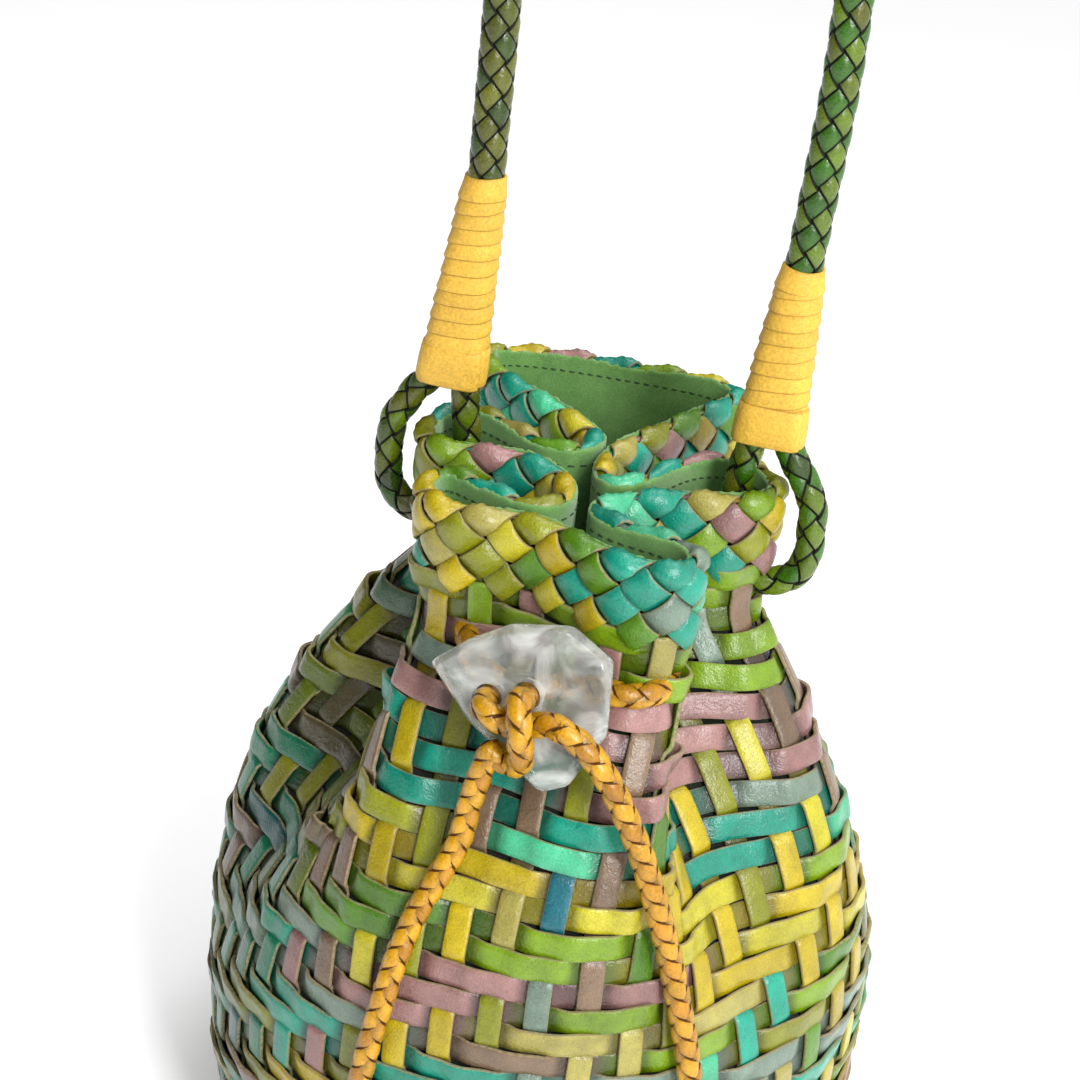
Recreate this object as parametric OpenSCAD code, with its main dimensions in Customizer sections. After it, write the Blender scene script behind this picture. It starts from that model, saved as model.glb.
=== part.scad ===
/* [Bag body] */
// Height of the rim above the table
rim_h = 262; // [260:1:264]
// Radius of the belly, to the middle of the woven wall
belly_r = 111.5; // [110:0.5:112.5]
// Radius of the flat base, to the middle of the woven wall
base_r = 98.5; // [97:0.5:100]
// Height of the rounded edge between the base and the belly
base_curve_h = 60; // [55:1:65]
// Height at which the pleats start to form
pleat_start_h = 80; // [76:1:84]
// Height at which the pleats are fully gathered
neck_h = 218; // [217:0.5:219]
// Thickness of the woven leather wall
weave_t = 3.2; // [3:0.1:3.2]
// Thickness of the suede lining
lining_t = 1.4; // [1:0.1:1.4]
// Height of the plaited border round the rim
border_h = 24; // [22:1:26]

/* [Strap] */
// Diameter of the braided strap
strap_d = 11.5; // [11:0.1:11.5]
// Diameter of the braided loops that hold the strap
loop_d = 9.5; // [9:0.1:9.5]
// Height of the strap's arch above the table, to the middle of the strap
arch_h = 539; // [520:1:560]
// Height of the top of the lace wraps, halfway between the left one and the right one
wrap_top_h = 338; // [335:1:341]
// Height of the bottom of the lace wraps
wrap_bottom_h = 276; // [275:0.5:278]
// Height of the plain bottom band of each wrap
band_h = 13; // [11:1:15]

/* [Drawstring and toggle] */
// Diameter of the drawstring
cord_d = 8; // [7.6:0.1:8]
// Thickness of the toggle stone
stone_t = 10; // [9:0.5:10]
// Lean of the toggle stone towards the neck of the bag
stone_lean = 20; // [18:1:22]

/* [Hidden] */
$fn = 48;

// Gap left between pieces that lie against each other
gap = 0.3;
// Pieces that each span of a wall curve is divided into
wall_steps = 3;

// Outline of the gathered mouth seen from above, as the control points of a closed curve.
// It runs from the front left corner round the front, right, back and left lobes.
mouth = [
    [-41, -38.5], [-35.5, -49], [-23, -54], [-7, -49], [9, -53], [26, -63], [43, -64], [52, -52],
    [40, -42], [24, -41], [10, -34], [20, -23], [36, -14], [53, -13], [65, 2], [53, 17],
    [38, 17], [28, 8], [23, -5], [14, -17], [6, -6], [9, 10], [18, 28], [28, 48],
    [40, 68], [24, 75], [-6, 74], [-34, 73], [-57, 65], [-45, 48], [-26, 34], [-8, 22],
    [4, 10], [-8, -1], [-22, 8], [-37, 17], [-48, 17], [-54.5, 2], [-48, -13], [-37, -13],
    [-22, -10], [-7, -14], [3, -25], [0, -39], [-13, -38], [-27, -30], [-37, -27.5]
];
// Direction in which the first control point lies on the belly
first_angle = -113;
// Distance from the axis beyond which a control point belongs to a lobe, not to a pleat
lobe_r = 62;
// How sharply the gathering grows towards the neck, and how much earlier the pleats start
gather_power = 2.3;
pleat_lead = 0.5;
// Size of the neck where the cord draws it in, against that of the rim
neck_scale = 0.95;

// Thickness of the board in the base, and height at which the wall's lining starts
board_t = 2;
lining_foot_h = weave_t + board_t + lining_t + 3 * gap;
// Heights at which the wall's cross-section is worked out
wall_z = [0, 3, lining_foot_h, 16, 40, 75, 108, 136, 160, 181, 200, neck_h, rim_h - border_h];

// Where the loops pass through the wall, and the arc that each makes round its edge
loop_y = 2;
loop_arc_r = 13;
loop_pass_h = 229;
loop_left_x = -51.5;
loop_right_x = 59.5;
loop_hole_r = loop_d / 2 + 1.5;
// Where the strap's two legs leave the wraps, and where they run into the arch
leg_left_x = -38.6;
leg_right_x = 59;
arch_left_x = -36.4;
arch_right_x = 62;
// The left wrap is longer than the right one
wrap_top_left = wrap_top_h + 6;
wrap_top_right = wrap_top_h - 5;

// Centre of the toggle stone, its two holes and its outline in its own plane
stone_at = [7, -78, 217];
stone_hole_r = cord_d / 2 + 0.3;
stone_holes = [[-10, 0], [1, 3]];
stone_corners = [[-26, 6], [-17, 13], [-6, 19], [9, 22], [21, 16], [22, -3], [15, -18], [8, -21],
    [-12, -7]];

// Middle line of the drawstring where the bag holds it
drawstring_route = [
    [11, -66, 220], [19, -66.5, 220], [28, -66.8, 220], [36, -66.5, 220],
    [42, -61, 220], [43, -51, 220], [41, -40, 220], [39, -28, 220], [37, -15, 220],
    [36, -2, 220], [33, 10, 220], [27, 21, 220], [18, 31, 220], [6, 38, 220], [-8, 38, 220],
    [-20, 33, 220], [-28, 23, 220], [-30, 12, 220], [-30, 0, 220], [-29, -12, 220],
    [-28, -24, 220], [-26, -35, 220], [-22, -46, 220], [-17, -56, 220], [-11, -63, 219],
    [-4, -67, 218]
];
// Middle lines of the two free tails, from the knot to the tail's end
tail_left_route = [
    [2, -91.6, 207.5], [-0.5, -92, 200], [-3, -92, 189], [-4, -93, 181.5], [-5.5, -94.5, 174],
    [-10, -98, 163], [-14.5, -102, 152], [-16.3, -104.7, 145], [-18, -107.5, 138],
    [-20.5, -112, 123], [-23, -114.5, 108], [-24, -115, 100.5], [-25, -115.5, 93],
    [-26.5, -116, 76], [-27.3, -116, 68], [-28, -115.5, 60], [-29, -114, 45]
];
tail_right_route = [
    [21, -90, 218.8], [28, -90.5, 215.5], [35, -90.5, 208], [41.5, -90.5, 197.5],
    [48, -90.5, 184.5], [51, -90.5, 177], [54, -90.5, 169], [60, -90, 151], [63, -90.4, 141],
    [66, -91, 131], [69, -91.5, 120], [71.5, -92, 109], [74.5, -92.5, 91], [75.7, -92.1, 81.5],
    [76.5, -91.5, 72], [77, -90.5, 56], [77, -88.5, 42]
];

// Radius of the round body below the pleats, to the middle of the wall
function body_r(z) =
    let (up = 1 - min(z / base_curve_h, 1))
    base_r + (belly_r - base_r) * sqrt(1 - up * up);

// How far the wall is gathered: 0 on the belly, 1 at the neck and above
function gather(z) =
    pow(max(0, min(1, (z - pleat_start_h) / (neck_h - pleat_start_h))), gather_power);

// Length of the mouth's outline up to control point n, and the whole length
function outline_part(n) = n == 0 ? 0 : outline_part(n - 1) + norm(mouth[n] - mouth[n - 1]);
outline_len = outline_part(len(mouth) - 1) + norm(mouth[0] - mouth[len(mouth) - 1]);
belly_dir = [for (i = [0 : len(mouth) - 1])
    let (a = first_angle + 360 * outline_part(i) / outline_len) [cos(a), sin(a)]];
pleat_depth = [for (p = mouth) max(0, 1 - norm(p) / lobe_r)];

// Control points of the wall's cross-section at a height
function section_controls(z) =
    let (g = gather(z), r = body_r(z),
        flare = neck_scale + (1 - neck_scale) * max(0, (z - neck_h) / (rim_h - neck_h)))
    [for (i = [0 : len(mouth) - 1])
        let (w = g == 0 ? 0 : pow(g, 1 - pleat_lead * pleat_depth[i]))
        belly_dir[i] * r * (1 - w) + mouth[i] * flare * w];

// One point of a closed cubic B-spline
function spline_point(a, b, c, d, t) =
    (a * pow(1 - t, 3) + b * (3 * t * t * t - 6 * t * t + 4)
        + c * (-3 * t * t * t + 3 * t * t + 3 * t + 1) + d * t * t * t) / 6;
function closed_spline(p, steps) =
    let (n = len(p))
    [for (i = [0 : n - 1], k = [0 : steps - 1])
        spline_point(p[(i + n - 1) % n], p[i], p[(i + 1) % n], p[(i + 2) % n], k / steps)];

// The wall's cross-section at a height, moved outwards by off
function section(z, off) =
    let (p = closed_spline(section_controls(z), wall_steps), n = len(p))
    [for (i = [0 : n - 1])
        let (t = p[(i + 1) % n] - p[(i + n - 1) % n], s = off / norm(t))
        [p[i][0] + t[1] * s, p[i][1] - t[0] * s, z]];

function flatten(lists) = [for (l = lists) for (v = l) v];

// A closed skin through rings of points that go up outside and down inside. Both sides are cut
// into triangles along the same diagonals, so that skins laid on each other stay apart.
module ring_skin(rings) {
    n = len(rings[0]);
    m = len(rings);
    faces = [for (k = [0 : m - 1], j = [0 : n - 1])
        let (a = k * n + j, b = k * n + (j + 1) % n,
            c = ((k + 1) % m) * n + (j + 1) % n, d = ((k + 1) % m) * n + j)
        each k < m / 2 ? [[a, c, b], [a, d, c]] : [[a, d, b], [b, d, c]]];
    polyhedron(points = flatten(rings), faces = faces, convexity = 20);
}

// A wall between two offsets, through cross-sections given as [height, outer, inner]
module wall_between(levels) {
    outer = [for (l = levels) section(l[0], l[1])];
    inner = [for (i = [len(levels) - 1 : -1 : 0]) section(levels[i][0], levels[i][2])];
    ring_skin(concat(outer, inner));
}

// A round cord along a route; side is any direction that the route never takes
module cord(route, d, side, sides = 10) {
    n = len(route);
    rings = [for (i = [0 : n - 1])
        let (t = route[min(i + 1, n - 1)] - route[max(i - 1, 0)],
            u = cross(side, t) / norm(cross(side, t)),
            v = cross(t, u) / norm(t))
        [for (j = [0 : sides - 1])
            route[i] + (u * cos(360 * j / sides) + v * sin(360 * j / sides)) * d / 2]];
    side_faces = [for (k = [0 : n - 2], j = [0 : sides - 1])
        let (a = k * sides + j, b = k * sides + (j + 1) % sides,
            c = (k + 1) * sides + (j + 1) % sides, e = (k + 1) * sides + j)
        each [[a, c, b], [a, e, c]]];
    first_cap = [[for (j = [0 : sides - 1]) j]];
    last_cap = [[for (j = [sides - 1 : -1 : 0]) (n - 1) * sides + j]];
    polyhedron(points = flatten(rings), faces = concat(side_faces, first_cap, last_cap),
        convexity = 6);
}

// Holes that the drawstring and the loops pass through
module wall_holes() {
    cord(drawstring_route, cord_d + 1.2, [0, 0, 1]);
    for (x = [loop_left_x, loop_right_x])
        translate([x - loop_arc_r, loop_y, loop_pass_h])
            rotate([0, 90, 0])
                cylinder(r = loop_hole_r, h = 2 * loop_arc_r);
}

// Flat woven base
module base_weave() {
    color([0.45, 0.58, 0.22])
        linear_extrude(weave_t)
            polygon([for (p = section(0, -weave_t / 2 - gap)) [p[0], p[1]]]);
}

// Stiffening board between the woven base and its lining
module base_board() {
    color([0.55, 0.42, 0.28])
        translate([0, 0, weave_t + gap])
            cylinder(r = base_r - 5, h = board_t, $fn = 96);
}

// Suede disc inside the base
module base_lining() {
    color([0.33, 0.55, 0.22])
        translate([0, 0, weave_t + board_t + 2 * gap])
            cylinder(r = base_r, h = lining_t, $fn = 96);
}

// Woven leather wall, from the base to the plaited border
module woven_wall() {
    color([0.35, 0.62, 0.32])
        difference() {
            wall_between([for (z = wall_z) [z, weave_t / 2, -weave_t / 2]]);
            wall_holes();
        }
}

// Plaited border round the rim, a little proud of the wall
border_proud = 0.9;
module rim_braid() {
    low = rim_h - border_h + gap;
    proud = weave_t / 2 + border_proud;
    back = -weave_t / 2;
    color([0.72, 0.68, 0.25])
        wall_between([[low, weave_t / 2, back], [low + 2, proud, back],
            [rim_h - 3, proud, back], [rim_h, weave_t / 2, back]]);
}

// Suede lining that covers the whole inside of the wall and shows at the rim
module wall_lining() {
    out = -weave_t / 2 - gap;
    in = out - lining_t;
    color([0.38, 0.62, 0.25])
        difference() {
            wall_between([for (z = concat([for (h = wall_z) if (h >= lining_foot_h) h], [rim_h + 1]))
                [z, out, in]]);
            wall_holes();
        }
}

// Seam thread on the inner face of the lining
thread_w = 0.8;
module rim_thread() {
    out = -weave_t / 2 - 2 * gap - lining_t;
    z = rim_h - 6;
    color([0.16, 0.24, 0.10])
        wall_between([[z - thread_w / 2, out, out - thread_w],
            [z + thread_w / 2, out, out - thread_w]]);
}

// The part of the drawstring that the neck holds
module drawstring() {
    color([0.88, 0.66, 0.10])
        cord(drawstring_route, cord_d, [0, 0, 1]);
}

// Middle line of the strap: up the left leg, over a half-round arch and down the right leg
spring_h = arch_h - 51;
arch_mid_x = (arch_left_x + arch_right_x) / 2;
arch_r = (arch_right_x - arch_left_x) / 2;
wrap_left_x = leg_left_x - 7.1;
wrap_right_x = leg_right_x - 3.7;
wrap_left_lean = (leg_left_x - wrap_left_x) / (wrap_top_left - wrap_bottom_h);
wrap_right_lean = (leg_right_x - wrap_right_x) / (wrap_top_right - wrap_bottom_h);
foot = 16;
strap_route = [for (p = concat(
    [[wrap_left_x + wrap_left_lean * foot, wrap_bottom_h + foot],
        [leg_left_x - 2 * wrap_left_lean, wrap_top_left - 2]],
    [[leg_left_x + 0.3, wrap_top_left + 12], [leg_left_x + 1.2, wrap_top_left + 50],
        [arch_left_x, spring_h - 12]],
    [for (a = [180 : -15 : 0])
        [arch_mid_x + arch_r * cos(a), spring_h + (arch_h - spring_h) * sin(a)]],
    [[arch_right_x + 0.2, spring_h - 12], [leg_right_x + 3.4, wrap_top_right + 77],
        [leg_right_x + 3, wrap_top_right + 50], [leg_right_x + 0.8, wrap_top_right + 12]],
    [[leg_right_x - 2 * wrap_right_lean, wrap_top_right - 2],
        [wrap_right_x + wrap_right_lean * foot, wrap_bottom_h + foot]]))
    [p[0], loop_y, p[1]]];

module strap() {
    color([0.22, 0.45, 0.12])
        cord(strap_route, strap_d, [0, 1, 0], 16);
}

// Middle line of a loop: up inside the wrap, down, round the wall's edge and up again.
// dir is 1 where the outer branch is on the right, -1 where it is on the left.
function loop_route(x, wrap_x, lean, dir) =
    let (z = loop_pass_h + loop_arc_r, in = wrap_x - dir * 5.1, out = wrap_x + dir * 5.1)
    [for (p = concat(
        [[in + lean * 13.5, wrap_bottom_h + 13.5], [in + lean * 5, wrap_bottom_h + 5],
            [in, wrap_bottom_h - 3], [in + (x - dir * loop_arc_r - in) * 0.6, wrap_bottom_h - 16]],
        [for (a = [180 : 22.5 : 360]) [x + dir * loop_arc_r * cos(a), z + loop_arc_r * sin(a)]],
        [[x + dir * loop_arc_r, z + 8], [x + dir * (loop_arc_r - 0.6), z + 15],
            [x + dir * (loop_arc_r - 2.6), z + 20.5], [x + dir * (loop_arc_r - 7.8), z + 29],
            [out + dir * 1.2, wrap_bottom_h + 1], [out + lean * 7, wrap_bottom_h + 7],
            [out + lean * 13.5, wrap_bottom_h + 13.5]]))
    [p[0], loop_y, p[1]]];

loop_left_route = loop_route(loop_left_x, wrap_left_x, wrap_left_lean, -1);
loop_right_route = loop_route(loop_right_x, wrap_right_x, wrap_right_lean, 1);

module loop_left() {
    color([0.24, 0.34, 0.12])
        cord(loop_left_route, loop_d, [0, 1, 0], 12);
}

module loop_right() {
    color([0.22, 0.42, 0.12])
        cord(loop_right_route, loop_d, [0, 1, 0], 12);
}

// Solid outline of a wrap between two heights: round on the strap, wide over the two branches
module wrap_outline(leg_x, low_x, top, low, high, grow) {
    top_r = strap_d / 2 + 1;
    low_r = loop_d / 2 + 1.9;
    slice = 0.5;
    hull() {
        for (z = [low, high - slice]) {
            up = (z - wrap_bottom_h) / (top - wrap_bottom_h);
            r = low_r + (top_r - low_r) * up + grow;
            for (s = [-5.1, 5.1])
                translate([low_x + (leg_x - low_x) * up + s * (1 - up), loop_y, z])
                    cylinder(r = r, h = slice, $fn = 40);
        }
    }
}

// Leaning round bore between two heights over the wrap's foot
module wrap_bore(x, lean, low, high, d) {
    hull()
        for (z = [low, high])
            translate([x + lean * z, loop_y, wrap_bottom_h + z])
                cylinder(d = d, h = 0.1, $fn = 48);
}

// Room inside a wrap for the strap's end and the ends of the loop
module wrap_core(leg_x, low_x, top) {
    room = 0.25;
    lean = (leg_x - low_x) / (top - wrap_bottom_h);
    wrap_bore(low_x, lean, foot - room, top - wrap_bottom_h + 1, strap_d + 2 * room);
    for (s = [-5.1, 5.1])
        wrap_bore(low_x + s, lean, 4, 13.5 + room, loop_d + 2 * room);
    hull()
        for (s = [-6.2, 6.2])
            translate([low_x + s, loop_y, wrap_bottom_h - 1])
                cylinder(d = loop_d + 2 * room, h = 8);
}

module lace_wrap(leg_x, low_x, top) {
    difference() {
        wrap_outline(leg_x, low_x, top, wrap_bottom_h + band_h + gap, top, 0);
        wrap_core(leg_x, low_x, top);
    }
}

module wrap_band(leg_x, low_x, top) {
    difference() {
        wrap_outline(leg_x, low_x, top, wrap_bottom_h, wrap_bottom_h + band_h, 0.4);
        wrap_core(leg_x, low_x, top);
    }
}

module wrap_left() {
    color([0.93, 0.72, 0.22])
        lace_wrap(leg_left_x, wrap_left_x, wrap_top_left);
}

module wrap_right() {
    color([0.93, 0.72, 0.22])
        lace_wrap(leg_right_x, wrap_right_x, wrap_top_right);
}

module wrap_band_left() {
    color([0.95, 0.75, 0.25])
        wrap_band(leg_left_x, wrap_left_x, wrap_top_left);
}

module wrap_band_right() {
    color([0.95, 0.75, 0.25])
        wrap_band(leg_right_x, wrap_right_x, wrap_top_right);
}

// Puts its children in the stone's plane: X to the right, Y up the stone, Z out of its front
module in_stone_plane() {
    translate(stone_at)
        rotate([90 - stone_lean, 0, 0])
            children();
}

// Irregular polished stone with two holes for the cord
module toggle_stone() {
    color([0.78, 0.80, 0.78, 0.6])
        in_stone_plane()
            difference() {
                hull()
                    for (p = stone_corners)
                        translate([p[0], p[1], 0])
                            scale([1, 1, stone_t / 8])
                                sphere(r = 4, $fn = 20);
                for (h = stone_holes)
                    translate([h[0], h[1], -stone_t])
                        cylinder(r = stone_hole_r, h = 2 * stone_t);
            }
}

// Short lengths of cord in the stone's holes
module cord_through(hole) {
    color([0.88, 0.66, 0.10])
        in_stone_plane()
            translate([hole[0], hole[1], -stone_t / 2 + gap])
                cylinder(d = cord_d, h = stone_t);
}

module cord_through_left() {
    cord_through(stone_holes[0]);
}

module cord_through_right() {
    cord_through(stone_holes[1]);
}

// Half knot in front of the stone: a round turn on the left and an upright turn on the right
module toggle_knot() {
    front = stone_t / 2 + 2 * gap + cord_d / 2;
    color([0.85, 0.62, 0.08])
        in_stone_plane() {
            hull() {
                translate([-9, 0, front + 0.4]) sphere(d = cord_d + 0.6, $fn = 24);
                translate([-3, -4, front + 0.4]) sphere(d = cord_d + 0.6, $fn = 24);
            }
            hull() {
                translate([3, 5, front + 0.8]) sphere(d = cord_d + 1.2, $fn = 24);
                translate([5, -6, front + 0.8]) sphere(d = cord_d + 1.2, $fn = 24);
            }
        }
}

module tail_left() {
    color([0.90, 0.68, 0.12])
        cord(tail_left_route, cord_d, [0, 1, 0]);
}

module tail_right() {
    color([0.90, 0.68, 0.12])
        cord(tail_right_route, cord_d, [0, 1, 0]);
}

// Overhand knot at a tail's end, where its middle is away from the end by [x, y, z]
end_knot_d = 15;
module end_knot(route, away) {
    color([0.85, 0.62, 0.08])
        translate(route[len(route) - 1] + away)
            hull() {
                translate([0, 0, -2]) sphere(d = end_knot_d, $fn = 20);
                translate([0, 0, 2]) sphere(d = end_knot_d, $fn = 20);
            }
}

module tail_knot_left() {
    end_knot(tail_left_route, [-0.5, -3, -9.5]);
}

module tail_knot_right() {
    end_knot(tail_right_route, [2, -2.5, -9.5]);
}

base_weave();
base_board();
base_lining();
woven_wall();
rim_braid();
wall_lining();
rim_thread();
drawstring();
strap();
loop_left();
loop_right();
wrap_left();
wrap_right();
wrap_band_left();
wrap_band_right();
toggle_stone();
cord_through_left();
cord_through_right();
toggle_knot();
tail_left();
tail_right();
tail_knot_left();
tail_knot_right();
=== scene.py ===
"""A hand-woven leather drawstring bag: the looks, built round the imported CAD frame.

Lengths are in millimetres, as in the CAD source, and become metres in mesh_piece.
"""
import math

import bmesh
import bpy
import numpy as np
from mathutils import Matrix, Vector


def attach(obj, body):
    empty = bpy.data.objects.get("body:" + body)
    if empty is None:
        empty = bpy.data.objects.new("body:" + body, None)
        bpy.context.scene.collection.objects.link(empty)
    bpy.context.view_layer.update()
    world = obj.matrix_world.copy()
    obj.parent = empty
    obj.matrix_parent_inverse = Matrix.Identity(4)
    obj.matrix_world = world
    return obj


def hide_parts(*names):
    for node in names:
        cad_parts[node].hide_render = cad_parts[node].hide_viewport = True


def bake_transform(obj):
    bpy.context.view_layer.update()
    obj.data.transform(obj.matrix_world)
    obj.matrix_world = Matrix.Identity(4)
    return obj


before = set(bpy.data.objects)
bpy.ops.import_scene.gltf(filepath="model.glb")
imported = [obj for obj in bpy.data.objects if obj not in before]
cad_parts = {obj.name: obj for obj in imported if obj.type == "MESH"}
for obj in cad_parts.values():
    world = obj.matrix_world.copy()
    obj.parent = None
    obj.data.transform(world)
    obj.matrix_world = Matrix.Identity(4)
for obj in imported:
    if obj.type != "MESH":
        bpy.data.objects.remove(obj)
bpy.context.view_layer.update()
MM = 0.001


def add_object(name, data):
    obj = bpy.data.objects.new(name, data)
    bpy.context.scene.collection.objects.link(obj)
    return obj


# -------------------- camera

def make_camera():
    """Stands where the photographer stood: to the right of the front, well above the rim."""
    azimuth, elevation, roll = math.radians(14), math.radians(28), math.radians(5)
    target, distance = Vector((-0.012, 0.0, 0.228)), 0.725
    back = Vector((math.sin(azimuth) * math.cos(elevation),
                   -math.cos(azimuth) * math.cos(elevation), math.sin(elevation)))
    level = Vector((math.cos(azimuth), math.sin(azimuth), 0.0))
    right = level * math.cos(roll) + back.cross(level) * math.sin(roll)
    up = back.cross(right)
    data = bpy.data.cameras.new("camera")
    data.sensor_width = 36.0
    data.lens = 76.1
    data.clip_start = 0.01
    camera = add_object("camera", data)
    camera.matrix_world = Matrix.Translation(target + back * distance) @ Matrix(
        (right, up, back)).transposed().to_4x4()
    bpy.context.scene.camera = camera


# -------------------- vectors, noise and meshes

def unit(v):
    return v / np.maximum(np.linalg.norm(v, axis=-1, keepdims=True), 1e-9)


def smooth_step(x):
    x = np.clip(x, 0.0, 1.0)
    return x * x * (3 - 2 * x)


def wobble(t, rng, waves=(2, 5, 9, 14)):
    """A smooth random line over t from 0 to 1 that ends where it starts, about -1 to 1."""
    total = np.zeros_like(t)
    for count in waves:
        total += np.sin(2 * math.pi * (count * t + rng.random())) / math.sqrt(len(waves))
    return total


def linear(rgb):
    """sRGB from 0 to 255 as linear light."""
    c = np.asarray(rgb, float) / 255
    return np.where(c <= 0.04045, c / 12.92, ((c + 0.055) / 1.055) ** 2.4)


def tangents(points, closed=False):
    if closed:
        return unit(np.roll(points, -1, 0) - np.roll(points, 1, 0))
    return unit(np.gradient(points, axis=0))


def run_along(points):
    """How far along a line each of its points is."""
    return np.concatenate([[0], np.cumsum(np.linalg.norm(np.diff(points, axis=0), axis=1))])


def resample(points, step):
    """A smooth curve through the points, as even steps."""
    p = np.asarray(points, float)
    ends = np.vstack([2 * p[0] - p[1], p, 2 * p[-1] - p[-2]])
    fine = []
    for a, b, c, d in zip(ends[:-3], ends[1:-2], ends[2:-1], ends[3:]):
        for t in np.linspace(0, 1, 24, endpoint=False):
            fine.append(0.5 * (2 * b + (c - a) * t + (2 * a - 5 * b + 4 * c - d) * t * t
                               + (3 * b - a - 3 * c + d) * t ** 3))
    fine = np.array(fine + [p[-1]])
    run = run_along(fine)
    count = max(int(round(run[-1] / step)) + 1, 2)
    at = np.linspace(0, run[-1], count)
    return np.stack([np.interp(at, run, fine[:, k]) for k in range(3)], -1)


def mesh_piece(name, parts, material, body):
    """One object from parts, each (points, faces, dye, cut): dye is a colour and cut a raw edge,
    and on the lining cut marks the back that is painted nearly black as shade.
    """
    points = np.concatenate([p[0] for p in parts]) * MM
    starts = np.cumsum([0] + [len(p[0]) for p in parts[:-1]])
    faces = [tuple(int(i) + int(s) for i in f) for s, p in zip(starts, parts) for f in p[1]]
    mesh = bpy.data.meshes.new(name)
    mesh.from_pydata(points.tolist(), [], faces)
    mesh.polygons.foreach_set("use_smooth", [True] * len(mesh.polygons))
    dye = np.concatenate([np.broadcast_to(p[2], (len(p[0]), 3)) for p in parts])
    colours = mesh.attributes.new("dye", "FLOAT_COLOR", "POINT")
    colours.data.foreach_set("color", np.hstack([dye, np.ones((len(dye), 1))]).ravel())
    cut = np.concatenate([np.broadcast_to(p[3], (len(p[0]),)) for p in parts])
    mesh.attributes.new("cut", "FLOAT", "POINT").data.foreach_set("value", cut.ravel())
    mesh.materials.append(material)
    mesh.validate()
    obj = add_object(name, mesh)
    if body:
        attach(obj, body)
    return obj


def strip_profile(width, thick, crown=0.12):
    """The cross-section of a leather strip, and which of its points are on the cut edges."""
    w, t, e = width / 2, thick / 2, min(0.28, thick / 4)
    points = [(-w, -t + e), (-w, t - e), (-w + e, t), (-w / 2, t + crown * 0.75), (0, t + crown),
              (w / 2, t + crown * 0.75), (w - e, t), (w, t - e), (w, -t + e), (w - e, -t),
              (0, -t), (-w + e, -t)]
    cut = [1, 1, 0, 0, 0, 0, 0, 1, 1, 0, 0, 0]
    return np.array(points), np.array(cut, float)


def tube(n, m, inward=False, closed=False):
    """Faces that join n rings of m points into a tube, with an end face at each open end."""
    k, j = np.meshgrid(np.arange(n if closed else n - 1), np.arange(m), indexing="ij")
    a, b = k * m + j, k * m + (j + 1) % m
    c, d = (k + 1) % n * m + (j + 1) % m, (k + 1) % n * m + j
    faces = np.stack([a, b, c, d] if inward else [a, d, c, b], -1).reshape(-1, 4).tolist()
    if not closed:
        first, last = list(range(m)), [(n - 1) * m + i for i in range(m)]
        faces += [first[::-1], last] if inward else [first, last[::-1]]
    return faces


def sweep(centres, normals, profile, dye, cut, closed=False):
    """A profile carried along centres, with its second axis along normals: one part of a mesh."""
    along = tangents(centres, closed)
    side = unit(np.cross(normals, along))
    out = np.cross(along, side)
    points = centres[:, None] + side[:, None] * profile[:, :1] + out[:, None] * profile[:, 1:]
    n, m = points.shape[:2]
    colours = np.repeat(np.broadcast_to(dye, (n, 3)), m, axis=0)
    return points.reshape(-1, 3), tube(n, m, closed=closed), colours, np.tile(cut, n)


# -------------------- the bag's wall

# The gathered mouth from above and the sizes of the wall, as the CAD source has them
MOUTH = np.array([
    (-41, -38.5), (-35.5, -49), (-23, -54), (-7, -49), (9, -53), (26, -63), (43, -64), (52, -52),
    (40, -42), (24, -41), (10, -34), (20, -23), (36, -14), (53, -13), (65, 2), (53, 17),
    (38, 17), (28, 8), (23, -5), (14, -17), (6, -6), (9, 10), (18, 28), (28, 48),
    (40, 68), (24, 75), (-6, 74), (-34, 73), (-57, 65), (-45, 48), (-26, 34), (-8, 22),
    (4, 10), (-8, -1), (-22, 8), (-37, 17), (-48, 17), (-54.5, 2), (-48, -13), (-37, -13),
    (-22, -10), (-7, -14), (3, -25), (0, -39), (-13, -38), (-27, -30), (-37, -27.5)], float)
RIM_H = 262.0
BORDER_H = 24.0
BELLY_R, BASE_R, BASE_CURVE_H = 111.5, 98.5, 60.0
PLEAT_START_H, NECK_H = 80.0, 218.0
GATHER_POWER, PLEAT_LEAD, NECK_SCALE = 2.3, 0.5, 0.95
LOBE_R = 62.0
FIRST_ANGLE = math.radians(-113)
LIFT = 1.9  # keeps the lowest strips on the floor, not in it

GRID_Z = np.arange(0.0, RIM_H + 4.0, 1.0)
CORNER_STEPS = 32
GRID_U = CORNER_STEPS * len(MOUTH)


def gather(z):
    """How far the wall is gathered at a height, with the bend at the neck eased."""
    spread = np.array([-5.0, -3.0, -1.0, 1.0, 3.0, 5.0])
    t = np.clip((z + spread - PLEAT_START_H) / (NECK_H - PLEAT_START_H), 0, 1)
    return float(np.mean(t ** GATHER_POWER))


def section_controls(z):
    spans = np.linalg.norm(np.roll(MOUTH, -1, 0) - MOUTH, axis=1)
    angle = FIRST_ANGLE + 2 * math.pi * np.concatenate([[0], np.cumsum(spans)[:-1]]) / spans.sum()
    up = 1 - min(z / BASE_CURVE_H, 1)
    radius = BASE_R + (BELLY_R - BASE_R) * math.sqrt(1 - up * up)
    belly = np.stack([np.cos(angle), np.sin(angle)], -1) * radius
    depth = np.clip(1 - np.linalg.norm(MOUTH, axis=1) / LOBE_R, 0, 1)
    flare = NECK_SCALE + (1 - NECK_SCALE) * max(0, (z - NECK_H) / (RIM_H - NECK_H))
    weight = (gather(z) ** (1 - PLEAT_LEAD * depth))[:, None]
    return belly * (1 - weight) + MOUTH * flare * weight


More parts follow.
